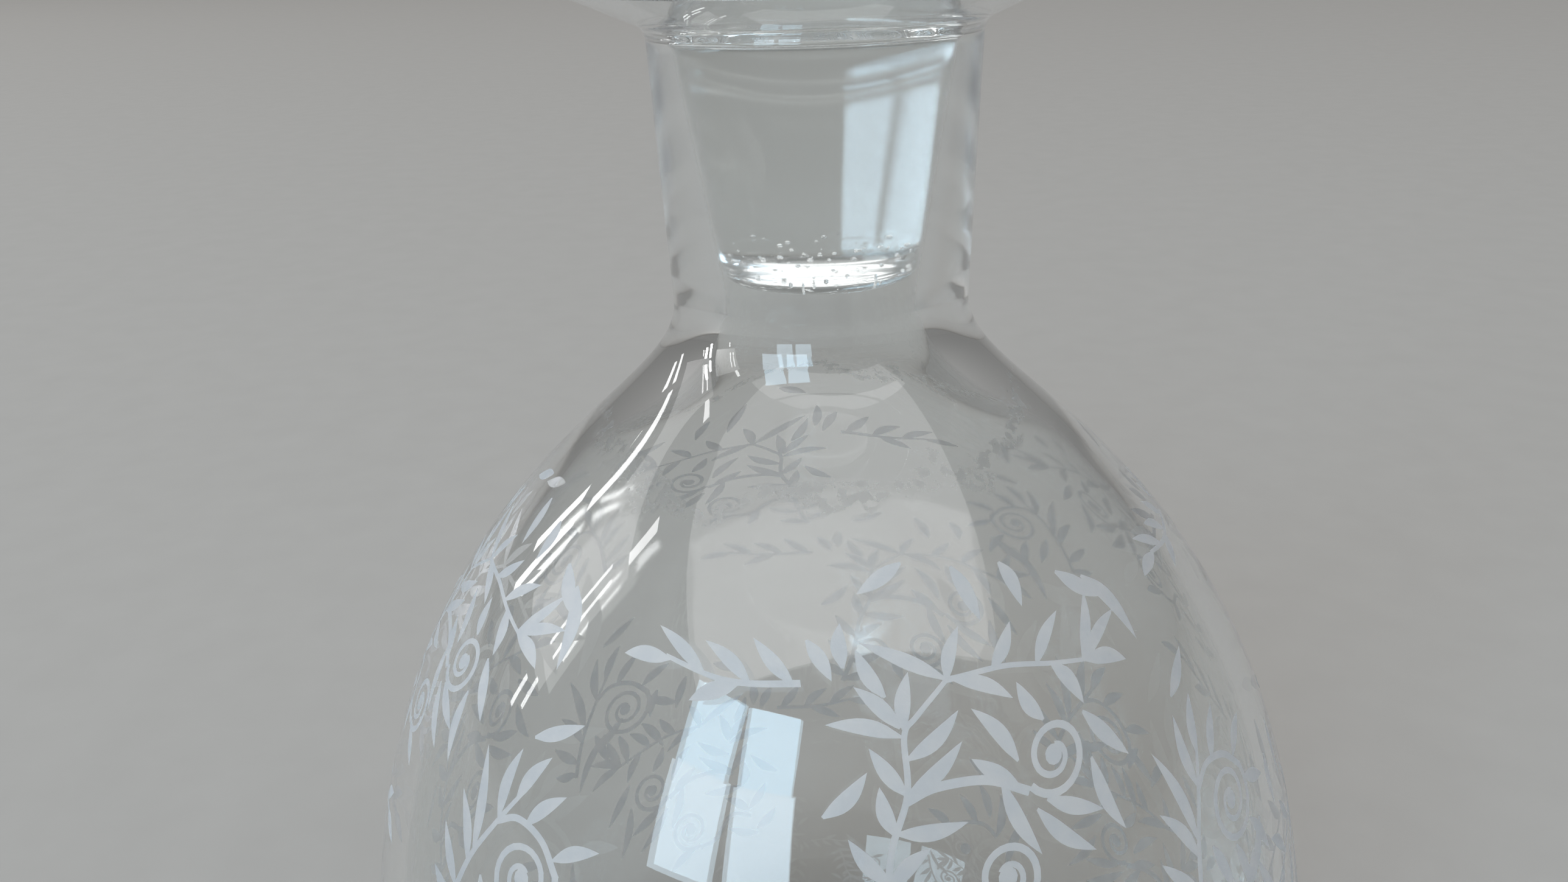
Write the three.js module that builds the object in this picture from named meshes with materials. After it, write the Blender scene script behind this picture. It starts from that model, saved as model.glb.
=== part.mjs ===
// A clear glass decanter: a blown globe with a thick neck and a flared lip, and a solid
// ground stopper that sits in the neck. Millimetres, +Z up, origin at the centre of the base.

import * as THREE from 'three';

// Outside of the body, from the resting plane up
const baseRadius = 28;
const lowerBodyHeight = 53;
const bodyRadius = 61;
const shoulderHeight = 94;

// How far the shoulder curve runs straight before it turns, as shares of its height
const shoulderEaseAtBody = 0.76;
const shoulderEaseAtNeck = 0.16;

// Neck and lip
const neckFootRadius = 17;
const neckTopRadius = 18.2;
const neckLength = 28.5;
const lipRadius = 28;
const lipRiseAngle = THREE.MathUtils.degToRad(24);
const lipFilletRadius = 2;
const lipThickness = 2.4;
const mouthRounding = 2;

// Glass thickness
const bodyWall = 3;
const floorThickness = 6;
const floorCrown = 1.5;
const innerFloorRadius = 24;

// Where the shoulder's wall starts to thicken towards the neck, as a share of its curve
const thickeningStart = 0.6;

// Polished hollow under the base
const puntRadius = 17;
const puntDepth = 2.5;

// Ground plug of the stopper, and the film of clearance around it
const plugTopRadius = 15.6;
const plugBottomRadius = 11.4;
const plugLength = 26;
const plugEdgeRadius = 3;
const seatClearance = 0.3;

// Stopper above the mouth
const plugRise = 1.5;
const shankRise = 12;
const shankRadius = 9.5;
const ballRadius = 21;
const ballFilletRadius = 3;

// Facets around the axis
const turnSegments = 48;

// Heights that follow from the sizes above
const neckFootHeight = lowerBodyHeight + shoulderHeight;
const mouthHeight = neckFootHeight + neckLength;
const plugBottomHeight = mouthHeight - plugLength;

// The taper that the plug and its seat share
const plugTaper = (plugTopRadius - plugBottomRadius) / plugLength;

function plugRadiusAt(height) {
  return plugTopRadius + plugTaper * (height - mouthHeight);
}

function seatRadiusAt(height) {
  return plugRadiusAt(height) + seatClearance;
}

function point(radius, height) {
  return new THREE.Vector2(radius, height);
}

// Points of an arc about a centre, from one angle to another
function arc(centre, radius, startAngle, endAngle, steps) {
  const clockwise = endAngle < startAngle;
  const curve = new THREE.EllipseCurve(centre.x, centre.y, radius, radius, startAngle, endAngle, clockwise);
  return curve.getPoints(steps);
}

// Points of a quarter ellipse that leaves level at the bottom and ends upright at the top
function belly(bottom, top, steps) {
  const wide = top.x - bottom.x;
  const tall = top.y - bottom.y;
  const curve = new THREE.EllipseCurve(bottom.x, top.y, wide, tall, -Math.PI / 2, 0, false);
  return curve.getPoints(steps);
}

// Points on the axis side of a curve, at a glass thickness that may change along it
function inset(curve, thicknessAt, steps) {
  const points = [];
  for (let i = 0; i <= steps; i += 1) {
    const along = i / steps;
    const tangent = curve.getTangent(along);
    const inward = point(-tangent.y, tangent.x);
    points.push(curve.getPoint(along).addScaledVector(inward, thicknessAt(along)));
  }
  return points;
}

// Joins runs of points into one outline and drops points that repeat
function outline(...runs) {
  const sameSpot = 1e-4;
  const points = [];
  for (const next of runs.flat()) {
    const last = points.at(-1);
    if (!last || last.distanceTo(next) > sameSpot) {
      points.push(next);
    }
  }
  return points;
}

// Turns an outline about the axis and stands it along +Z
function turn(name, points, material) {
  const geometry = new THREE.LatheGeometry(points, turnSegments);
  geometry.rotateX(Math.PI / 2);
  const mesh = new THREE.Mesh(geometry, material);
  mesh.name = name;
  return mesh;
}

function clearGlass() {
  return new THREE.MeshStandardMaterial({
    color: 0xdde4e6,
    roughness: 0.04,
    metalness: 0,
    transparent: true,
    opacity: 0.35,
  });
}

// Shoulder: upright at the widest point, then in along the line of the neck
function shoulderCurve() {
  const neckLean = (neckTopRadius - neckFootRadius) / neckLength;
  const bodyEase = shoulderEaseAtBody * shoulderHeight;
  const neckEase = shoulderEaseAtNeck * shoulderHeight;
  return new THREE.CubicBezierCurve(
    point(bodyRadius, lowerBodyHeight),
    point(bodyRadius, lowerBodyHeight + bodyEase),
    point(neckFootRadius - neckLean * neckEase, neckFootHeight - neckEase),
    point(neckFootRadius, neckFootHeight),
  );
}

// Lip: a fillet out of the neck, a straight flare, a round rim, and a rounded mouth inside
function lipOutline() {
  const along = point(Math.cos(lipRiseAngle), Math.sin(lipRiseAngle));
  const across = point(-along.y, along.x);
  const filletCentre = point(neckTopRadius + lipFilletRadius, mouthHeight);
  const acrossAngle = Math.PI / 2 + lipRiseAngle;
  const fillet = arc(filletCentre, lipFilletRadius, Math.PI, acrossAngle, 3);

  const rimRadius = lipThickness / 2;
  const rimStart = fillet.at(-1).clone().addScaledVector(across, rimRadius);
  const flare = (lipRadius - rimRadius - rimStart.x) / along.x;
  const rimCentre = rimStart.clone().addScaledVector(along, flare);
  const rim = arc(rimCentre, rimRadius, acrossAngle - Math.PI, acrossAngle, 5);

  const slope = along.y / along.x;
  const topHeightAt = (radius) => rim.at(-1).y - (rim.at(-1).x - radius) * slope;
  const mouthRadius = seatRadiusAt(mouthHeight);
  const mouthCorner = topHeightAt(mouthRadius);
  const seatTop = mouthCorner - mouthRounding;
  const mouth = new THREE.QuadraticBezierCurve(
    point(mouthRadius + mouthRounding, topHeightAt(mouthRadius + mouthRounding)),
    point(mouthRadius, mouthCorner),
    point(seatRadiusAt(seatTop), seatTop),
  );
  return outline(fillet, rim, mouth.getPoints(4));
}

function vessel() {
  const shoulder = shoulderCurve();
  const neckWall = neckFootRadius - seatRadiusAt(neckFootHeight);
  const extraWall = neckWall - bodyWall;
  const wallAt = (along) => bodyWall + extraWall * THREE.MathUtils.smoothstep(along, thickeningStart, 1);

  const punt = new THREE.QuadraticBezierCurve(
    point(0, puntDepth),
    point(puntRadius / 2, puntDepth),
    point(puntRadius, 0),
  );
  const outerBelly = belly(point(baseRadius, 0), point(bodyRadius, lowerBodyHeight), 9);
  const neckTop = point(neckTopRadius, mouthHeight);

  const innerTop = point(bodyRadius - bodyWall, lowerBodyHeight);
  const innerBelly = belly(point(innerFloorRadius, floorThickness), innerTop, 9);
  const floor = new THREE.QuadraticBezierCurve(
    point(innerFloorRadius, floorThickness),
    point(innerFloorRadius / 2, floorThickness + floorCrown),
    point(0, floorThickness + floorCrown),
  );

  const points = outline(
    punt.getPoints(4),
    outerBelly,
    shoulder.getPoints(14),
    neckTop,
    lipOutline(),
    inset(shoulder, wallAt, 14).reverse(),
    innerBelly.reverse(),
    floor.getPoints(3),
  );
  return turn('vessel', points, clearGlass());
}

function stopper() {
  const taperAngle = Math.atan(plugTaper);
  const edgeHeight = plugBottomHeight + plugEdgeRadius;
  const edgeInset = plugEdgeRadius / Math.cos(taperAngle);
  const edgeCentre = point(plugRadiusAt(edgeHeight) - edgeInset, edgeHeight);
  const edge = arc(edgeCentre, plugEdgeRadius, -Math.PI / 2, -taperAngle, 3);

  const plugTop = mouthHeight + plugRise;
  const waist = mouthHeight + shankRise;
  const middle = (plugTop + waist) / 2;
  const shank = new THREE.CubicBezierCurve(
    point(plugRadiusAt(plugTop), plugTop),
    point(plugRadiusAt(middle), middle),
    point(shankRadius, middle),
    point(shankRadius, waist),
  );

  const filletCentre = point(shankRadius + ballFilletRadius, waist);
  const centreSpan = ballRadius + ballFilletRadius;
  const ballLift = Math.sqrt(centreSpan ** 2 - filletCentre.x ** 2);
  const ballCentre = point(0, waist + ballLift);
  const meetAngle = Math.atan2(ballLift, -filletCentre.x);
  const fillet = arc(filletCentre, ballFilletRadius, Math.PI, meetAngle, 3);
  const ball = arc(ballCentre, ballRadius, meetAngle - Math.PI, Math.PI / 2, 14);

  const points = outline(point(0, plugBottomHeight), edge, shank.getPoints(6), fillet, ball);
  points.at(-1).x = 0;
  return turn('stopper', points, clearGlass());
}

const decanter = new THREE.Group();
decanter.add(vessel(), stopper());

export default decanter;
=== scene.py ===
import math

import bpy
import numpy as np
from mathutils import Matrix, Vector
from mathutils.geometry import delaunay_2d_cdt


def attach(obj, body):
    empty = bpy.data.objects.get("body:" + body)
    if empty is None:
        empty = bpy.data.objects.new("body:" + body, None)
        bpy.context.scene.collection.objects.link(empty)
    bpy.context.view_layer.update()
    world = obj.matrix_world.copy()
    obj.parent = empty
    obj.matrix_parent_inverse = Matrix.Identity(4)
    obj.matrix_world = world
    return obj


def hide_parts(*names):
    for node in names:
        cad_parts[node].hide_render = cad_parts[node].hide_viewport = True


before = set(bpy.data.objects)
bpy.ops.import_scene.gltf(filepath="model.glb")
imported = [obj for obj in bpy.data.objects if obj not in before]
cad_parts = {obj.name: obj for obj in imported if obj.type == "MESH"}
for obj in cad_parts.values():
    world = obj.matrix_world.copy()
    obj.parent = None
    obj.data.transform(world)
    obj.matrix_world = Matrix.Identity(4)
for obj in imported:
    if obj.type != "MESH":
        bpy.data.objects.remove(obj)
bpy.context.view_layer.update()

# Sizes of the glass in millimetres, the same as in the solids
BASE_RADIUS = 28.0
LOWER_BODY_HEIGHT = 53.0
BODY_RADIUS = 61.0
SHOULDER_HEIGHT = 94.0
SHOULDER_EASE_AT_BODY = 0.76
SHOULDER_EASE_AT_NECK = 0.16
NECK_FOOT_RADIUS = 17.0
NECK_TOP_RADIUS = 18.2
NECK_LENGTH = 28.5
LIP_RADIUS = 28.0
LIP_RISE_ANGLE = math.radians(24)
LIP_FILLET_RADIUS = 2.0
LIP_THICKNESS = 2.4
MOUTH_ROUNDING = 2.0
BODY_WALL = 3.0
FLOOR_THICKNESS = 6.0
FLOOR_CROWN = 1.5
INNER_FLOOR_RADIUS = 24.0
THICKENING_START = 0.6
PUNT_RADIUS = 17.0
PUNT_DEPTH = 2.5
PLUG_TOP_RADIUS = 15.6
PLUG_BOTTOM_RADIUS = 11.4
PLUG_LENGTH = 26.0
PLUG_EDGE_RADIUS = 3.0
SEAT_CLEARANCE = 0.3
PLUG_RISE = 1.5
SHANK_RISE = 12.0
SHANK_RADIUS = 9.5
BALL_RADIUS = 21.0
BALL_FILLET_RADIUS = 3.0

# Heights and taper that follow from the sizes above
NECK_FOOT_HEIGHT = LOWER_BODY_HEIGHT + SHOULDER_HEIGHT
MOUTH_HEIGHT = NECK_FOOT_HEIGHT + NECK_LENGTH
PLUG_BOTTOM_HEIGHT = MOUTH_HEIGHT - PLUG_LENGTH
PLUG_TAPER = (PLUG_TOP_RADIUS - PLUG_BOTTOM_RADIUS) / PLUG_LENGTH

# Facets around the axis, and along each run of the outlines
SEGMENTS = 160
PUNT_STEPS = 14
RING_STEPS = 6
BELLY_STEPS = 60
SHOULDER_STEPS = 110
NECK_STEPS = 16
LIP_FILLET_STEPS = 10
LIP_FLARE_STEPS = 5
RIM_STEPS = 14
MOUTH_STEPS = 14
SEAT_STEPS = 16
INNER_SHOULDER_STEPS = 64
INNER_BELLY_STEPS = 36
FLOOR_STEPS = 12
PLUG_BOTTOM_STEPS = 10
PLUG_EDGE_STEPS = 16
PLUG_STEPS = 24
SHANK_STEPS = 24
BALL_FILLET_STEPS = 12
BALL_STEPS = 64

# Etched band: repeats around the globe, lowest and highest height, clear margin, and turn about the axis
REPEATS = 4
BAND_FOOT = 24.0
BAND_TOP = 130.0
BAND_MARGIN = 0.5
PATTERN_TURN = math.radians(8)

# Places on the band are (across, up): across in millimetres at DRAWN_RADIUS, up along the body's outline
DRAWN_RADIUS = 50.0
TILE_ANGLE = 2 * math.pi / REPEATS
TILE_WIDTH = TILE_ANGLE * DRAWN_RADIUS

# Rows of sprays: turn in degrees, distance below the band's top, enlargement, and side (-1 is mirrored)
FOLIAGE_ROWS = ((0, 8.6, 1.0, 1), (75, 44.6, 1.12, -1), (10, 80.6, 1.06, 1))

# Degrees from a main spray to its side spray
SIDE_SPRAY_TURN = 38

# Leaves, spirals and buds in millimetres, and the points that draw them
LEAF_WIDTH = 1.6
LEAF_FOOT_HALF_WIDTH = 0.15
LEAF_BEND = 0.07
LEAF_POINTS = 11
SPIRAL_WIDTH = 0.8
SPIRAL_END_SHARE = 0.7
SPIRAL_END_RADIUS = 0.9
SPIRAL_POINTS = 44
BUD_RADIUS = 1.0
BUD_POINTS = 11
STEM_STEPS = 10

# Mesh of one repeat: columns and rows on its border, and fill points between the leaves
TILE_COLUMNS = SEGMENTS // REPEATS
TILE_ROWS = 44
FILL_SPACING = 2.0
FILL_ROW_SPACING = 0.87 * FILL_SPACING
FILL_CLEARANCE = 0.6

# Points this close to an edge lie on it, and points this close on an edge are one point
ON_EDGE = 1e-3
SAME_MARK = 0.02
JOIN_DISTANCE = 1e-5

# Seed bubbles caught in the plug's lower end, in millimetres, and how fast rise and radius vary
SEED_BUBBLES = 96
SEED_REACH = 9.8
SEED_RISE = 2.8
SEED_RISE_SPREAD = 1.6
SEED_RISE_STEP = 3.7
SEED_RADIUS = 0.15
SEED_RADIUS_SPREAD = 0.08
SEED_RADIUS_STEP = 2.3
SEED_SIDES = 8
SEED_ROWS = 5

# Clear glass, with smears that roughen it and a ripple that bends its reflections
GLASS_IOR = 1.52
CLEAR_COLOR = (0.965, 0.98, 0.978, 1)
SMEAR_SCALE = 55.0
SMEAR_RANGE = (0.48, 0.75)
SMEAR_ROUGHNESS = 0.02
RIPPLE_SCALE = 60.0
RIPPLE_DEPTH = 0.002
VESSEL_RIPPLE = 0.025
STOPPER_RIPPLE = 0.01

# Water marks inside the shoulder, by height in metres: a thin film that ends in a wavy, lacy line
FILM_COLOR = (0.93, 0.95, 0.96, 1)
FILM_STRENGTH = 0.5
FILM_FOOT = 0.118
FILM_TOP = 0.139
FILM_SHARE = 0.14
LINE_FOOT = 0.137
LINE_CREST = 0.1395
LINE_TOP = 0.1405
WAVE_SCALE = 70.0
WAVE_HEIGHT = 0.016
LACE_SCALE = 900.0
LACE_RANGE = (0.42, 0.6)
LACE_SHARES = (0.1, 1.0)

# Satin ground seat inside the neck, and wear on the standing ring, by height in metres
SEAT_HEIGHTS = (0.145, 0.149)
SEAT_ROUGHNESS = 0.09
WEAR_HEIGHTS = (0.0, 0.0006)
WEAR_SCALE = 900.0
WEAR_RANGE = (0.35, 0.65)
WEAR_ROUGHNESS = 0.45

# Share of the outline over which the outside's finish gives way to the inside's
INSIDE_BLEND = 0.001

# Etched glass
ETCHED_TRANSMISSION = 0.72
ETCHED_DULL_COLOR = (0.86, 0.89, 0.93, 1)
ETCHED_BRIGHT_COLOR = (0.96, 0.97, 0.99, 1)
CLOUD_SCALE = 320.0
CLOUD_RANGE = (0.35, 0.7)
GRAIN_SCALE = 2600.0
GRAIN_RANGE = (0.3, 0.7)
GRAIN_ROUGHNESS = (0.7, 0.9)
GRAIN_STRENGTH = 0.25
GRAIN_DEPTH = 0.0001

# Pale floor, in metres
FLOOR_REACH = 40.0
FLOOR_DARK_COLOR = (0.355, 0.342, 0.326, 1)
FLOOR_LIGHT_COLOR = (0.385, 0.372, 0.356, 1)
FLOOR_MOTTLE_SCALE = 60.0
FLOOR_ROUGHNESS = 0.85

# Camera: close in front, looking down on the shoulder, turned and tilted as the photograph is
CAMERA_PLACE = (0, -0.1503, 0.189)
CAMERA_PITCH = math.radians(22.0)
CAMERA_ROLL = math.radians(-2.03)
CAMERA_PAN = math.radians(1.84)
CAMERA_NEAR = 0.005
CAMERA_FAR = 60.0
SENSOR_WIDTH = 36.0
FOCAL_PIXELS = 2200
IMAGE_WIDTH = 2576

# Lamps face this point. Azimuth 0 is behind the camera and positive to its right
LAMP_TARGET = (0, 0, 0.115)
WHITE = (1, 1, 1)
SKY_BLUE = (0.56, 0.81, 1.0)
PALE_BLUE = (0.66, 0.85, 1.0)

# A window of two panes at the front left, a wide soft light overhead and a dim one at the left.
# Each row: name, azimuth, elevation, distance, width, height, radiance and colour
LAMPS = (
    ("window_upper", -36.8, 34.2, 5.2, 1.2, 1.24, 6.5, SKY_BLUE),
    ("window_lower", -36.8, 18.2, 5.2, 1.36, 1.68, 6.5, PALE_BLUE),
    ("window_upper", -18.2, 34.2, 5.2, 1.2, 1.24, 6.5, SKY_BLUE),
    ("window_lower", -18.2, 18.2, 5.2, 1.36, 1.68, 6.5, PALE_BLUE),
    ("ceiling", 8.0, 71.0, 12.0, 20.0, 8.7, 1.8, WHITE),
    ("side_curtain", -101.0, 27.0, 5.8, 2.2, 2.4, 1.8, WHITE),
)

# Narrow bright lamps at the left: azimuth, elevation, width and height
SIDE_STRIP_DISTANCE = 5.6
SIDE_STRIP_RADIANCE = 10.0
SIDE_STRIPS = (
    (-124.0, 31.0, 0.2, 1.04),
    (-124.0, 16.0, 0.2, 0.88),
    (-119.0, 28.0, 0.2, 0.88),
    (-119.0, 15.0, 0.2, 1.2),
    (-92.0, 41.0, 0.24, 0.56),
    (-92.0, 27.0, 0.08, 1.44),
    (-95.5, 27.0, 0.08, 1.44),
    (-96.0, 11.0, 0.12, 0.48),
)

# Light from all round, which grows from the horizon to near the zenith
WORLD_COLOR = (1.0, 0.99, 0.97, 1)
WORLD_RISE = (0.0, 0.9)
WORLD_STRENGTHS = (0.195, 0.4)

# Light passes many faces in thick glass
LIGHT_BOUNCES = 28

METRE = 0.001
UP = math.pi / 2
RISING = (0.0, 1.0)
FALLING = (1.0, 0.0)


# Outlines: runs of (radius, height) points in millimetres
def plug_radius(height):
    return PLUG_TOP_RADIUS + PLUG_TAPER * (height - MOUTH_HEIGHT)


def seat_radius(height):
    return plug_radius(height) + SEAT_CLEARANCE


def line(start, end, steps):
    return np.linspace(start, end, steps + 1)


def arc(centre, radius, start, end, steps):
    angle = np.linspace(start, end, steps + 1)
    return np.stack([centre[0] + radius * np.cos(angle), centre[1] + radius * np.sin(angle)], 1)


def belly(bottom, top, steps):
    """A quarter ellipse that leaves level at the bottom and ends upright at the top."""
    angle = np.linspace(-UP, 0, steps + 1)
    wide, tall = top[0] - bottom[0], top[1] - bottom[1]
    return np.stack([bottom[0] + wide * np.cos(angle), top[1] + tall * np.sin(angle)], 1)


def bezier(points, steps):
    along = np.linspace(0, 1, steps + 1)[:, None]
    level = [np.array(p, float) for p in points]
    while len(level) > 1:
        level = [a + (b - a) * along for a, b in zip(level, level[1:])]
    return level[0]


def directions(points):
    tangent = np.gradient(points, axis=0, edge_order=2)
    return tangent / np.linalg.norm(tangent, axis=1)[:, None]


def smoothstep(value, low, high):
    share = np.clip((value - low) / (high - low), 0, 1)
    return share * share * (3 - 2 * share)


def shoulder_run(steps):
    lean = (NECK_TOP_RADIUS - NECK_FOOT_RADIUS) / NECK_LENGTH
    body_ease = SHOULDER_EASE_AT_BODY * SHOULDER_HEIGHT
    neck_ease = SHOULDER_EASE_AT_NECK * SHOULDER_HEIGHT
    return bezier([
        (BODY_RADIUS, LOWER_BODY_HEIGHT),
        (BODY_RADIUS, LOWER_BODY_HEIGHT + body_ease),
        (NECK_FOOT_RADIUS - lean * neck_ease, NECK_FOOT_HEIGHT - neck_ease),
        (NECK_FOOT_RADIUS, NECK_FOOT_HEIGHT),
    ], steps)


def base_runs():
    punt = bezier([(0, PUNT_DEPTH), (PUNT_RADIUS / 2, PUNT_DEPTH), (PUNT_RADIUS, 0)], PUNT_STEPS)
    ring = line((PUNT_RADIUS, 0), (BASE_RADIUS, 0), RING_STEPS)
    return [punt, ring]


def body_runs():
    outer_belly = belly((BASE_RADIUS, 0), (BODY_RADIUS, LOWER_BODY_HEIGHT), BELLY_STEPS)
    return [outer_belly, shoulder_run(SHOULDER_STEPS)]


def neck_runs():
    """Neck, the fillet under the lip, its flare, rim and upper face, and the rounded mouth."""
    neck = line((NECK_FOOT_RADIUS, NECK_FOOT_HEIGHT), (NECK_TOP_RADIUS, MOUTH_HEIGHT), NECK_STEPS)
    along = np.array([math.cos(LIP_RISE_ANGLE), math.sin(LIP_RISE_ANGLE)])
    across = np.array([-along[1], along[0]])
    across_angle = UP + LIP_RISE_ANGLE
    fillet_centre = (NECK_TOP_RADIUS + LIP_FILLET_RADIUS, MOUTH_HEIGHT)
    fillet = arc(fillet_centre, LIP_FILLET_RADIUS, math.pi, across_angle, LIP_FILLET_STEPS)
    rim_radius = LIP_THICKNESS / 2
    rim_start = fillet[-1] + across * rim_radius
    rim_centre = rim_start + along * (LIP_RADIUS - rim_radius - rim_start[0]) / along[0]
    rim = arc(rim_centre, rim_radius, across_angle - math.pi, across_angle, RIM_STEPS)

    def top_height(radius):
        return rim[-1][1] - (rim[-1][0] - radius) * along[1] / along[0]

    mouth_radius = seat_radius(MOUTH_HEIGHT)
    mouth_corner = top_height(mouth_radius)
    seat_top = mouth_corner - MOUTH_ROUNDING
    mouth = bezier([
        (mouth_radius + MOUTH_ROUNDING, top_height(mouth_radius + MOUTH_ROUNDING)),
        (mouth_radius, mouth_corner),
        (seat_radius(seat_top), seat_top),
    ], MOUTH_STEPS)
    flare = line(fillet[-1], rim[0], LIP_FLARE_STEPS)
    upper_face = line(rim[-1], mouth[0], LIP_FLARE_STEPS)
    return [neck, fillet, flare, rim, upper_face, mouth]


def inside_runs(mouth_end):
    shoulder = shoulder_run(INNER_SHOULDER_STEPS)
    tangent = directions(shoulder)
    neck_wall = NECK_FOOT_RADIUS - seat_radius(NECK_FOOT_HEIGHT)
    along = np.linspace(0, 1, len(shoulder))
    wall = BODY_WALL + (neck_wall - BODY_WALL) * smoothstep(along, THICKENING_START, 1)
    inner = shoulder + np.stack([-tangent[:, 1], tangent[:, 0]], 1) * wall[:, None]
    seat = line(mouth_end, inner[-1], SEAT_STEPS)
    floor_edge = (INNER_FLOOR_RADIUS, FLOOR_THICKNESS)
    inner_belly = belly(floor_edge, (BODY_RADIUS - BODY_WALL, LOWER_BODY_HEIGHT), INNER_BELLY_STEPS)
    crown = FLOOR_THICKNESS + FLOOR_CROWN
    floor = bezier([floor_edge, (INNER_FLOOR_RADIUS / 2, crown), (0, crown)], FLOOR_STEPS)
    return [seat, inner[::-1], inner_belly[::-1], floor]


def vessel_runs():
    """Runs on the outside, up to the mouth, and runs on the inside."""
    outside = [*base_runs(), *body_runs(), *neck_runs()]
    return outside, inside_runs(outside[-1][-1])


def stopper_runs():
    taper_angle = math.atan(PLUG_TAPER)
    edge_height = PLUG_BOTTOM_HEIGHT + PLUG_EDGE_RADIUS
    edge_inset = PLUG_EDGE_RADIUS / math.cos(taper_angle)
    edge_centre = (plug_radius(edge_height) - edge_inset, edge_height)
    edge = arc(edge_centre, PLUG_EDGE_RADIUS, -UP, -taper_angle, PLUG_EDGE_STEPS)
    plug_top = MOUTH_HEIGHT + PLUG_RISE
    waist = MOUTH_HEIGHT + SHANK_RISE
    middle = (plug_top + waist) / 2
    plug_end = (plug_radius(plug_top), plug_top)
    shank = bezier([
        plug_end,
        (plug_radius(middle), middle),
        (SHANK_RADIUS, middle),
        (SHANK_RADIUS, waist),
    ], SHANK_STEPS)
    fillet_x = SHANK_RADIUS + BALL_FILLET_RADIUS
    ball_lift = math.sqrt((BALL_RADIUS + BALL_FILLET_RADIUS) ** 2 - fillet_x ** 2)
    meet = math.atan2(ball_lift, -fillet_x)
    fillet = arc((fillet_x, waist), BALL_FILLET_RADIUS, math.pi, meet, BALL_FILLET_STEPS)
    ball = arc((0, waist + ball_lift), BALL_RADIUS, meet - math.pi, UP, BALL_STEPS)
    ball[-1][0] = 0
    bottom = line((0, PLUG_BOTTOM_HEIGHT), edge[0], PLUG_BOTTOM_STEPS)
    plug = line(edge[-1], plug_end, PLUG_STEPS)
    return [bottom, edge, plug, shank, fillet, ball]


def row_count(runs):
    """How many rows of facets runs have."""
    return sum(len(run) - 1 for run in runs)


def profile(runs):
    """Points, outward normals and lengths along joined runs, which share a normal where they meet."""
    points, normals = [], []
    for run in runs:
        tangent = directions(run)
        outward = np.stack([tangent[:, 1], -tangent[:, 0]], 1)
        start = 0
        if points:
            normals[-1] = normals[-1] + outward[0]
            start = 1
        points.extend(run[start:])
        normals.extend(outward[start:])
    points, normals = np.array(points), np.array(normals)
    normals /= np.linalg.norm(normals, axis=1)[:, None]
    length = np.concatenate([[0], np.cumsum(np.linalg.norm(np.diff(points, axis=0), axis=1))])
    return points, normals, length


class Skin:
    """A closed surface: points with their own normals, faces with a finish and a place on a flat map."""

    def __init__(self, total):
        self.total = total
        self.points = []
        self.normals = []
        self.faces = []
        self.finish = []
        self.flat = []

    def point(self, angle, radius, height, normal):
        cos, sin = math.cos(angle), math.sin(angle)
        self.points.append((radius * cos * METRE, radius * sin * METRE, height * METRE))
        self.normals.append((normal[0] * cos, normal[0] * sin, normal[1]))
        return len(self.points) - 1

    def ring(self, radius, height, normal):
        on_axis = 1e-6
        if radius < on_axis:
            pole = self.point(0, 0, height, normal)
            return [pole] * SEGMENTS
        step = 2 * math.pi / SEGMENTS
        return [self.point(PATTERN_TURN + step * i, radius, height, normal) for i in range(SEGMENTS)]

    def face(self, corners, flat, finish=0):
        self.faces.append(corners)
        self.finish.append(finish)
        self.flat.extend((u, v / self.total) for u, v in flat)

    def strip(self, low, high, low_length, high_length):
        for i in range(SEGMENTS):
            j = (i + 1) % SEGMENTS
            left, right = i / SEGMENTS, (i + 1) / SEGMENTS
            corners = [
                (low[i], left, low_length),
                (low[j], right, low_length),
                (high[j], right, high_length),
                (high[i], left, high_length),
            ]
            kept = [c for k, c in enumerate(corners) if c[0] != corners[k - 1][0]]
            self.face([c[0] for c in kept], [c[1:] for c in kept])

    def build(self, name, materials):
        mesh = bpy.data.meshes.new(name)
        mesh.from_pydata(self.points, [], self.faces)
        mesh.polygons.foreach_set("material_index", self.finish)
        flat = mesh.uv_layers.new(name="OFBake")
        flat.data.foreach_set("uv", np.array(self.flat, np.float32).ravel())
        mesh.shade_smooth()
        mesh.normals_split_custom_set_from_vertices(self.normals)
        mesh.update()
        piece = bpy.data.objects.new(name, mesh)
        bpy.context.scene.collection.objects.link(piece)
        for material in materials:
            mesh.materials.append(material)
        return piece


# Etched foliage, drawn for one repeat
def through(points):
    """A smooth curve through points."""
    points = [np.array(p, float) for p in points]
    ends = [2 * points[0] - points[1], *points, 2 * points[-1] - points[-2]]
    runs = [points[:1]]
    for before, start, end, after in zip(ends, ends[1:], ends[2:], ends[3:]):
        leaving = start + (end - before) / 6
        arriving = end - (after - start) / 6
        runs.append(bezier([start, leaving, arriving, end], STEM_STEPS)[1:])
    return np.concatenate(runs)


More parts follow.
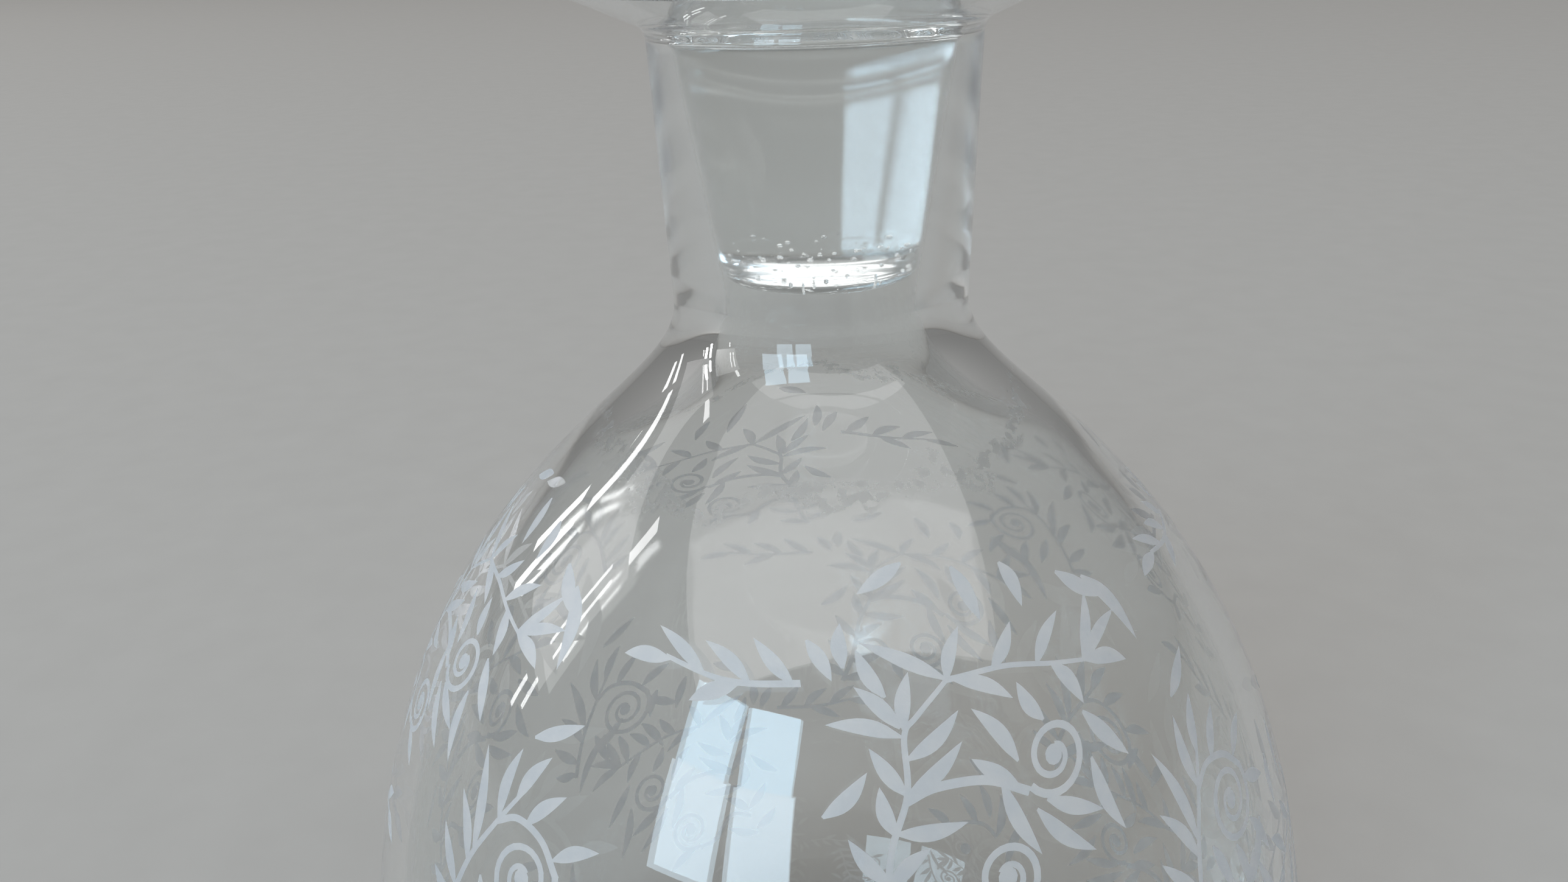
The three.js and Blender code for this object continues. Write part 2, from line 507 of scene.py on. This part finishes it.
class Foliage:
    """Collects closed outlines of leaves, stems and buds that lie on the globe. A motif is drawn with
    right and down in millimetres from its anchor, and may be enlarged and mirrored."""

    def __init__(self, radius_at, foot, top):
        self.radius_at = radius_at
        self.foot = foot
        self.top = top
        self.outlines = []

    def anchor(self, angle, down, scale, side):
        self.angle = angle
        self.height = self.top - down
        self.scale = np.array([scale * side, -scale])

    def lay(self, points):
        right, up = (np.asarray(points, float) * self.scale + (0, self.height)).T
        if up.min() < self.foot or up.max() > self.top:
            return
        across = (self.angle + right / self.radius_at(up)) * DRAWN_RADIUS
        outline = np.stack([across, up], 1)
        following = np.roll(outline, -1, 0)
        doubled_area = np.sum(outline[:, 0] * following[:, 1] - following[:, 0] * outline[:, 1])
        self.outlines.append(outline if doubled_area > 0 else outline[::-1])

    def leaf(self, base, tip, width):
        """A lance leaf with a slender foot, a sharp tip and a slight bend of its own."""
        base, tip = np.array(base, float), np.array(tip, float)
        along = np.linspace(0, 1, LEAF_POINTS)
        half = width / 2 * np.sin(math.pi * along ** 0.85) ** 0.9
        half[0] = LEAF_FOOT_HALF_WIDTH
        across = np.array([base[1] - tip[1], tip[0] - base[0]])
        bend = LEAF_BEND * math.sin(5 * (base[0] + tip[1]))
        spine = base + (tip - base) * along[:, None] + across * (bend * np.sin(math.pi * along))[:, None]
        offset = half[:, None] * across / np.linalg.norm(across)
        self.lay(np.concatenate([(spine + offset)[:-1], [tip], (spine - offset)[-2::-1]]))

    def leaves(self, places, width=LEAF_WIDTH):
        for base, tip in places:
            self.leaf(base, tip, width)

    def stem(self, places, start_width=0.8, end_width=0.5):
        self.ribbon(through(places), start_width, end_width)

    def ribbon(self, points, start_width, end_width):
        tangent = directions(points)
        across = np.stack([-tangent[:, 1], tangent[:, 0]], 1)
        half = np.linspace(start_width, end_width, len(points))[:, None] / 2
        self.lay(np.concatenate([points + across * half, (points - across * half)[::-1]]))

    def spiral(self, centre, radius, start, turns, hand):
        """A ribbon that winds in to a bud."""
        along = np.linspace(0, 1, SPIRAL_POINTS)
        angle = start + hand * 2 * math.pi * turns * along
        reach = radius + (SPIRAL_END_RADIUS - radius) * along ** 1.1
        points = np.stack([centre[0] + reach * np.cos(angle), centre[1] + reach * np.sin(angle)], 1)
        self.ribbon(points, SPIRAL_WIDTH, SPIRAL_WIDTH * SPIRAL_END_SHARE)
        self.lay(arc(centre, BUD_RADIUS, 0, 2 * math.pi, BUD_POINTS)[:-1])


def draw_main_spray(art):
    """A leafy stem with a sprig, two arms that wind into spirals, and loose leaves around them."""
    art.stem([(-4.4, 33), (-2.6, 28), (-1.4, 21.5), (0.6, 16.5), (0.9, 11.2), (2.3, 9.5), (5.7, 6.5)])
    art.leaves((
        ((0.6, 10.4), (-3.4, 6.2)), ((-0.5, 7.4), (-2.8, 2.6)), ((0.9, 10.6), (2.0, 5.2)),
        ((0.6, 11.2), (-6.5, 9.7)), ((0.5, 16.6), (-2.6, 12.0)), ((-0.9, 20.2), (-2.0, 15.6)),
        ((-1.8, 24.5), (-5.4, 20.2)), ((-2.8, 28.4), (-6.8, 25.0)), ((0.9, 13.4), (6.5, 9.5)),
        ((0.6, 16.6), (6.5, 12.4)), ((-0.8, 20.0), (6.2, 19.8)), ((-1.9, 25.0), (2.4, 21.6)),
        ((-3.0, 29.2), (2.6, 27.2)), ((-4.0, 32.0), (-8.2, 29.6)), ((-4.2, 32.6), (0.6, 31.8)),
    ))

    art.leaves((((5.6, 6.4), (-2.4, 2.0)), ((5.7, 6.6), (7.7, 1.6)), ((6.4, 6.6), (12.4, 9.6))), 1.5)
    art.stem([(5.7, 6.5), (11.8, 6.4), (17.5, 7.6), (22, 8.6)], 0.6, 0.4)
    art.leaves((
        ((10.6, 6.4), (13.4, 2.4)), ((15.6, 7.2), (19.4, 3.0)), ((21.8, 8.6), (27.6, 5.6)),
        ((21.6, 8.4), (23.8, 2.4)), ((21.8, 8.6), (27.8, 10.6)), ((17.4, 7.6), (20.6, 12.4)),
    ))

    art.stem([(0.4, 17.2), (3.5, 16.2), (8.5, 16.4), (12.8, 18.4)], 0.9, 0.9)
    art.spiral((16.0, 15.8), 3.7, 2.5, 1.6, -1)
    art.leaves((
        ((12.0, 15.4), (7.8, 9.6)), ((11.6, 17.4), (7.2, 14.2)), ((20.2, 13.0), (25.4, 18.8)),
        ((20.4, 17.4), (23.6, 25.2)), ((14.6, 19.6), (21.0, 22.4)), ((10.0, 17.0), (13.4, 24.4)),
        ((13.4, 20.2), (19.6, 25.8)), ((15.4, 12.4), (13.0, 8.2)),
    ))

    art.stem([(-2.0, 25.8), (1.6, 25.0), (5.0, 28.4), (8.2, 29.2)], 0.7, 0.8)
    art.spiral((9.6, 25.6), 3.5, 2.0, 1.7, -1)
    art.leaves((((4.2, 27.6), (6.0, 32.4)), ((9.4, 29.2), (14.4, 31.6))))

    art.leaves((
        ((-7.4, 1.6), (-5.4, 5.6)), ((-4.2, 4.4), (-4.0, 0.0)), ((-7.6, 18.2), (-3.0, 14.2)),
        ((2.8, -5.6), (-2.0, -2.8)), ((7.9, -4.4), (10.2, 1.6)), ((13.4, -3.6), (15.2, 1.4)),
        ((20.4, -0.6), (27.0, 4.0)), ((24.0, 1.0), (30.4, 9.6)),
    ))
    art.stem([(-22.0, 4.6), (-15.6, 6.0), (-8.4, 5.8)], 0.5, 0.7)
    art.leaves((
        ((-9.2, 5.8), (-12.6, 1.6)), ((-13.4, 6.0), (-17.6, 2.4)), ((-18.0, 5.6), (-22.6, 1.8)),
        ((-14.6, 6.2), (-19.8, 8.4)), ((-21.6, 4.8), (-27.0, 5.4)),
    ))


def draw_side_spray(art):
    """A slender upright stem with long leaves, a spiral at its right and leaves below that."""
    art.stem([(-3.4, 38), (-1.4, 31.7), (1.3, 26.7), (4.2, 21.8)])
    art.leaves((
        ((3.4, 23.2), (6.2, 17.6)), ((-1.0, 30.8), (-3.4, 20.0)), ((1.6, 26.0), (2.0, 18.2)),
        ((-1.6, 32.2), (-5.4, 25.8)), ((-2.8, 35.6), (-7.2, 30.4)), ((3.0, 16.6), (8.6, 13.4)),
        ((-3.2, 37.4), (-7.6, 35.6)),
    ))
    art.stem([(1.6, 26.2), (4.4, 24.8), (8.2, 25.7), (11.2, 28.6)], 0.7, 0.8)
    art.spiral((6.9, 30.2), 4.5, -0.4, 1.9, 1)
    art.leaves((
        ((5.6, 25.0), (9.6, 20.6)), ((10.2, 27.0), (15.2, 24.6)), ((11.4, 30.0), (16.6, 32.6)),
        ((9.8, 34.0), (13.4, 40.0)), ((5.4, 34.6), (6.6, 40.6)), ((1.0, 32.4), (3.2, 38.6)),
    ))


def draw_foliage(radius_at, foot, top):
    art = Foliage(radius_at, foot + BAND_MARGIN, top - BAND_MARGIN)
    for turn, down, scale, side in FOLIAGE_ROWS:
        art.anchor(math.radians(turn), down, scale, side)
        draw_main_spray(art)
        art.anchor(math.radians(turn + side * SIDE_SPRAY_TURN), down, scale, side)
        draw_side_spray(art)
    return art.outlines


def fill_points(outline_points, foot, top):
    """Points in staggered rows that keep clear of the leaves, so the triangles between them are even."""
    kept = []
    for j, y in enumerate(np.arange(foot + FILL_SPACING, top - FILL_SPACING / 2, FILL_ROW_SPACING)):
        start = FILL_SPACING * (0.6 + 0.5 * (j % 2))
        for x in np.arange(start, TILE_WIDTH - FILL_SPACING * 0.4, FILL_SPACING):
            if np.min(np.hypot(outline_points[:, 0] - x, outline_points[:, 1] - y)) > FILL_CLEARANCE:
                kept.append((x, y))
    return kept


def etched_tile(outlines, foot, top):
    """Triangles of one repeat as places on the band, and whether each is etched."""
    places, edges, faces = [], [], []

    def ring(points):
        first = len(places)
        places.extend(points)
        count = len(points)
        edges.extend((first + i, first + (i + 1) % count) for i in range(count))
        return list(range(first, first + count))

    across = np.linspace(0, TILE_WIDTH, TILE_COLUMNS + 1)
    rise = np.linspace(foot, top, TILE_ROWS + 1)
    border = [(x, foot) for x in across] + [(TILE_WIDTH, y) for y in rise[1:]]
    border += [(x, top) for x in across[-2::-1]] + [(0, y) for y in rise[-2:0:-1]]
    ring(border)
    drawn = []
    for outline in outlines:
        for shift in (-TILE_WIDTH, 0, TILE_WIDTH):
            moved = outline + (shift, 0)
            if moved[:, 0].max() > 0 and moved[:, 0].min() < TILE_WIDTH:
                drawn.append(moved)
                faces.append(ring([tuple(p) for p in moved]))
    places.extend(fill_points(np.concatenate(drawn), foot, top))

    vectors = [Vector(p) for p in places]
    every_triangle = 0
    result = delaunay_2d_cdt(vectors, edges, faces, every_triangle, JOIN_DISTANCE)
    points, _, triangles, _, _, origins = result
    points = np.array([tuple(p) for p in points])
    middle = np.array([points[list(t)].mean(0) for t in triangles])
    inside = (middle[:, 0] > 0) & (middle[:, 0] < TILE_WIDTH)
    kept = [(t, bool(o)) for t, o, keep in zip(triangles, origins, inside) if keep]
    return points, kept


def side_marks(places):
    """How far up the points on a repeat's two sides lie, each once."""
    marks = []
    for across, up in sorted(map(tuple, places), key=lambda place: place[1]):
        on_side = across < ON_EDGE or across > TILE_WIDTH - ON_EDGE
        if on_side and (not marks or up - marks[-1] > SAME_MARK):
            marks.append(up)
    return np.array(marks)


def lay_band(skin, foot_ring, top_ring, points, normals, length):
    """Covers the band between two rings, one repeat after another. Repeats share points where they meet."""
    foot, top = length[0], length[-1]

    def radius_at(up):
        return np.interp(up, length, points[:, 0])

    places, triangles = etched_tile(draw_foliage(radius_at, foot, top), foot, top)
    used = sorted({i for triangle, _ in triangles for i in triangle})
    marks = side_marks(places[used])
    seams = {}
    for repeat in range(REPEATS):
        index = {}
        for i in used:
            across, up = places[i]
            column = (repeat * TILE_COLUMNS + int(round(across / TILE_WIDTH * TILE_COLUMNS))) % SEGMENTS
            if abs(up - foot) < ON_EDGE:
                index[i] = foot_ring[column]
                continue
            if abs(up - top) < ON_EDGE:
                index[i] = top_ring[column]
                continue
            seam = None
            if abs(across) < ON_EDGE:
                seam = repeat
            elif abs(across - TILE_WIDTH) < ON_EDGE:
                seam = (repeat + 1) % REPEATS
            key = (seam, int(np.argmin(abs(marks - up))))
            if seam is not None and key in seams:
                index[i] = seams[key]
                continue
            angle = (repeat + across / TILE_WIDTH) * TILE_ANGLE + PATTERN_TURN
            normal = [np.interp(up, length, normals[:, c]) for c in (0, 1)]
            height = np.interp(up, length, points[:, 1])
            index[i] = skin.point(angle, radius_at(up), height, normal)
            if seam is not None:
                seams[key] = index[i]
        for triangle, etched in triangles:
            corners = [index[i] for i in triangle]
            flat = [((repeat + places[i][0] / TILE_WIDTH) / REPEATS, places[i][1]) for i in triangle]
            if len(set(corners)) == len(corners):
                skin.face(corners, flat, int(etched))


def make_vessel(materials):
    outside, inside = vessel_runs()
    points, normals, length = profile([*outside, *inside])
    skin = Skin(length[-1])
    start = row_count(base_runs())
    stop = start + row_count(body_runs()) + 1
    heights = points[start:stop, 1]
    foot_row = start + int(np.argmin(abs(heights - BAND_FOOT)))
    top_row = start + int(np.argmin(abs(heights - BAND_TOP)))
    rows = {}
    for i in range(len(points)):
        if not foot_row < i < top_row:
            rows[i] = skin.ring(points[i][0], points[i][1], normals[i])
    for i in range(len(points) - 1):
        if i in rows and i + 1 in rows:
            skin.strip(rows[i], rows[i + 1], length[i], length[i + 1])
    span = slice(foot_row, top_row + 1)
    lay_band(skin, rows[foot_row], rows[top_row], points[span], normals[span], length[span])
    return skin.build("decanter_vessel", materials)


def inside_share():
    """Share of the vessel's outline that lies before the mouth's end, so outside."""
    outside, inside = vessel_runs()
    length = profile([*outside, *inside])[2]
    return length[row_count(outside)] / length[-1]


def add_bubble(skin, centre, radius):
    """A round hollow in solid glass: its faces look into it."""
    first = len(skin.points)
    for j in range(SEED_ROWS + 1):
        tilt = math.pi * j / SEED_ROWS - UP
        for i in range(SEED_SIDES if 0 < j < SEED_ROWS else 1):
            turn = 2 * math.pi * i / SEED_SIDES
            out = np.array([math.cos(tilt) * math.cos(turn), math.cos(tilt) * math.sin(turn), math.sin(tilt)])
            skin.points.append(tuple((np.array(centre) + radius * out) * METRE))
            skin.normals.append(tuple(-out))
    last = len(skin.points) - 1

    def at(j, i):
        if j == 0:
            return first
        if j == SEED_ROWS:
            return last
        return first + 1 + (j - 1) * SEED_SIDES + i % SEED_SIDES

    for j in range(SEED_ROWS):
        for i in range(SEED_SIDES):
            corners = [at(j, i), at(j + 1, i), at(j + 1, i + 1), at(j, i + 1)]
            kept = [c for k, c in enumerate(corners) if c != corners[k - 1]]
            skin.face(kept, [(0.5, 0.0)] * len(kept))


def make_stopper(materials):
    points, normals, length = profile(stopper_runs())
    skin = Skin(length[-1])
    rows = [skin.ring(p[0], p[1], n) for p, n in zip(points, normals)]
    for i in range(len(points) - 1):
        skin.strip(rows[i], rows[i + 1], length[i], length[i + 1])
    golden_angle = math.pi * (3 - math.sqrt(5))
    for k in range(SEED_BUBBLES):
        reach = SEED_REACH * math.sqrt((k + 0.5) / SEED_BUBBLES)
        height = PLUG_BOTTOM_HEIGHT + SEED_RISE + SEED_RISE_SPREAD * math.sin(SEED_RISE_STEP * k)
        centre = (reach * math.cos(golden_angle * k), reach * math.sin(golden_angle * k), height)
        add_bubble(skin, centre, SEED_RADIUS + SEED_RADIUS_SPREAD * math.sin(SEED_RADIUS_STEP * k))
    return skin.build("decanter_stopper", materials)


# Materials
class Graph:
    """Adds nodes to a material or to the world, and gives their outputs."""

    def __init__(self, tree):
        self.nodes = tree.nodes
        self.links = tree.links

    def coordinates(self, kind):
        return self.nodes.new("ShaderNodeTexCoord").outputs[kind]

    def axis(self, vector, name):
        node = self.nodes.new("ShaderNodeSeparateXYZ")
        self.links.new(vector, node.inputs["Vector"])
        return node.outputs[name]

    def noise(self, vector, scale, detail):
        node = self.nodes.new("ShaderNodeTexNoise")
        node.inputs["Scale"].default_value = scale
        node.inputs["Detail"].default_value = detail
        self.links.new(vector, node.inputs["Vector"])
        return node.outputs["Fac"]

    def ramp(self, source, taken, given):
        """A soft step: the range taken from the source becomes the range given."""
        node = self.nodes.new("ShaderNodeMapRange")
        node.interpolation_type = "SMOOTHSTEP"
        node.inputs["From Min"].default_value, node.inputs["From Max"].default_value = taken
        node.inputs["To Min"].default_value, node.inputs["To Max"].default_value = given
        self.links.new(source, node.inputs["Value"])
        return node.outputs["Result"]

    def combine(self, operation, first, second):
        node = self.nodes.new("ShaderNodeMath")
        node.operation = operation
        for socket, value in zip(node.inputs, (first, second)):
            if isinstance(value, float):
                socket.default_value = value
            else:
                self.links.new(value, socket)
        return node.outputs["Value"]

    def mix(self, share, first_color, second_color):
        node = self.nodes.new("ShaderNodeMix")
        node.data_type = "RGBA"
        self.links.new(share, node.inputs["Factor"])
        node.inputs["A"].default_value = first_color
        node.inputs["B"].default_value = second_color
        return node.outputs["Result"]

    def bump(self, height, strength, depth):
        node = self.nodes.new("ShaderNodeBump")
        node.inputs["Strength"].default_value = strength
        node.inputs["Distance"].default_value = depth
        self.links.new(height, node.inputs["Height"])
        return node.outputs["Normal"]


def new_material(name):
    """A material with its graph and its shader."""
    material = bpy.data.materials.new(name)
    material.use_nodes = True
    graph = Graph(material.node_tree)
    return material, graph, graph.nodes["Principled BSDF"]


def clear_glass(name, ripple):
    """Clear glass with faint smears and the soft ripple of blown glass."""
    material, graph, shader = new_material(name)
    shader.inputs["Base Color"].default_value = CLEAR_COLOR
    shader.inputs["Transmission Weight"].default_value = 1.0
    shader.inputs["IOR"].default_value = GLASS_IOR
    place = graph.coordinates("Object")
    smear = graph.ramp(graph.noise(place, SMEAR_SCALE, 4.0), SMEAR_RANGE, (0.0, SMEAR_ROUGHNESS))
    graph.links.new(smear, shader.inputs["Roughness"])
    ripples = graph.noise(place, RIPPLE_SCALE, 1.0)
    graph.links.new(graph.bump(ripples, ripple, RIPPLE_DEPTH), shader.inputs["Normal"])
    return material


def add_marks(material, inside_start):
    """Dried water marks inside the shoulder, the satin ground seat, and wear on the standing ring."""
    graph = Graph(material.node_tree)
    shader = graph.nodes["Principled BSDF"]
    smear = shader.inputs["Roughness"].links[0].from_socket
    place = graph.coordinates("Object")
    height = graph.axis(place, "Z")
    along = graph.axis(graph.coordinates("UV"), "Y")
    inside = graph.ramp(along, (inside_start, inside_start + INSIDE_BLEND), RISING)

    wave = graph.combine("MULTIPLY", graph.noise(place, WAVE_SCALE, 4.0), WAVE_HEIGHT)
    level = graph.combine("ADD", height, wave)
    line_foot = graph.ramp(level, (LINE_FOOT, LINE_CREST), RISING)
    line_top = graph.ramp(level, (LINE_CREST, LINE_TOP), FALLING)
    lace = graph.ramp(graph.noise(place, LACE_SCALE, 3.0), LACE_RANGE, LACE_SHARES)
    water_line = graph.combine("MULTIPLY", graph.combine("MULTIPLY", line_foot, line_top), lace)
    film_foot = graph.ramp(level, (FILM_FOOT, FILM_TOP), (0.0, FILM_SHARE))
    film_top = graph.ramp(level, (FILM_TOP, LINE_TOP), FALLING)
    below = graph.combine("MULTIPLY", film_foot, film_top)
    marks = graph.combine("MAXIMUM", water_line, below)
    film = graph.combine("MULTIPLY", graph.combine("MULTIPLY", marks, inside), FILM_STRENGTH)
    graph.links.new(graph.mix(film, CLEAR_COLOR, FILM_COLOR), shader.inputs["Base Color"])

    seat = graph.combine("MULTIPLY", inside, graph.ramp(height, SEAT_HEIGHTS, (0.0, SEAT_ROUGHNESS)))
    scratches = graph.ramp(graph.noise(place, WEAR_SCALE, 3.0), WEAR_RANGE, (0.0, WEAR_ROUGHNESS))
    wear = graph.combine("MULTIPLY", graph.ramp(height, WEAR_HEIGHTS, FALLING), scratches)
    rough = smear
    for roughness in (film, wear, seat):
        rough = graph.combine("MAXIMUM", rough, roughness)
    graph.links.new(rough, shader.inputs["Roughness"])


def etched_glass(name):
    """Frosted glass with a fine grain and slight clouds."""
    material, graph, shader = new_material(name)
    shader.inputs["Transmission Weight"].default_value = ETCHED_TRANSMISSION
    shader.inputs["IOR"].default_value = GLASS_IOR
    place = graph.coordinates("Object")
    cloud = graph.ramp(graph.noise(place, CLOUD_SCALE, 3.0), CLOUD_RANGE, RISING)
    color = graph.mix(cloud, ETCHED_DULL_COLOR, ETCHED_BRIGHT_COLOR)
    graph.links.new(color, shader.inputs["Base Color"])
    grain = graph.noise(place, GRAIN_SCALE, 3.0)
    graph.links.new(graph.ramp(grain, GRAIN_RANGE, GRAIN_ROUGHNESS), shader.inputs["Roughness"])
    graph.links.new(graph.bump(grain, GRAIN_STRENGTH, GRAIN_DEPTH), shader.inputs["Normal"])
    return material


# Stage: camera, floor, lamps and world
def make_camera():
    data = bpy.data.cameras.new("camera")
    data.sensor_width = SENSOR_WIDTH
    data.lens = SENSOR_WIDTH * FOCAL_PIXELS / IMAGE_WIDTH
    data.clip_start = CAMERA_NEAR
    data.clip_end = CAMERA_FAR
    camera = bpy.data.objects.new("camera", data)
    pan = Matrix.Rotation(CAMERA_PAN, 4, "Z")
    pitch = Matrix.Rotation(UP - CAMERA_PITCH, 4, "X")
    roll = Matrix.Rotation(CAMERA_ROLL, 4, "Z")
    camera.matrix_world = Matrix.Translation(CAMERA_PLACE) @ pan @ pitch @ roll
    bpy.context.scene.collection.objects.link(camera)
    bpy.context.scene.camera = camera


def make_floor():
    material, graph, shader = new_material("pale_floor")
    mottle = graph.noise(graph.coordinates("Object"), FLOOR_MOTTLE_SCALE, 4.0)
    graph.links.new(graph.mix(mottle, FLOOR_DARK_COLOR, FLOOR_LIGHT_COLOR), shader.inputs["Base Color"])
    shader.inputs["Roughness"].default_value = FLOOR_ROUGHNESS
    mesh = bpy.data.meshes.new("floor")
    corners = [(x * FLOOR_REACH, y * FLOOR_REACH, 0) for x, y in ((-1, -1), (1, -1), (1, 1), (-1, 1))]
    mesh.from_pydata(corners, [], [(0, 1, 2, 3)])
    floor = bpy.data.objects.new("floor", mesh)
    mesh.materials.append(material)
    bpy.context.scene.collection.objects.link(floor)


def lamp(name, azimuth, elevation, distance, width, height, radiance, color):
    """A rectangle of light that faces the globe."""
    data = bpy.data.lights.new(name, "AREA")
    data.shape = "RECTANGLE"
    data.size, data.size_y = width, height
    data.energy = radiance * math.pi * width * height
    data.color = color
    light = bpy.data.objects.new(name, data)
    bpy.context.scene.collection.objects.link(light)
    az, el = math.radians(azimuth), math.radians(elevation)
    away = Vector((math.sin(az) * math.cos(el), -math.cos(az) * math.cos(el), math.sin(el)))
    light.location = Vector(LAMP_TARGET) + away * distance
    light.rotation_euler = (-away).to_track_quat("-Z", "Y").to_euler()
    light.visible_camera = False


def make_world():
    world = bpy.data.worlds.new("studio")
    world.use_nodes = True
    graph = Graph(world.node_tree)
    height = graph.axis(graph.coordinates("Generated"), "Z")
    background = graph.nodes["Background"]
    background.inputs["Color"].default_value = WORLD_COLOR
    graph.links.new(graph.ramp(height, WORLD_RISE, WORLD_STRENGTHS), background.inputs["Strength"])
    bpy.context.scene.world = world


vessel_clear = clear_glass("vessel_clear_glass", VESSEL_RIPPLE)
add_marks(vessel_clear, inside_share())
vessel = make_vessel([vessel_clear, etched_glass("vessel_etched_glass")])
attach(vessel, "vessel")
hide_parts("vessel")

stopper = make_stopper([clear_glass("stopper_clear_glass", STOPPER_RIPPLE)])
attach(stopper, "stopper")
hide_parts("stopper")

make_camera()
make_floor()
for row in LAMPS:
    lamp(*row)
for azimuth, elevation, width, height in SIDE_STRIPS:
    lamp("side_strip", azimuth, elevation, SIDE_STRIP_DISTANCE, width, height, SIDE_STRIP_RADIANCE, WHITE)
make_world()

bpy.context.scene.view_settings.view_transform = "Standard"

cycles = bpy.context.scene.cycles
cycles.max_bounces = LIGHT_BOUNCES
cycles.glossy_bounces = LIGHT_BOUNCES
cycles.transmission_bounces = LIGHT_BOUNCES
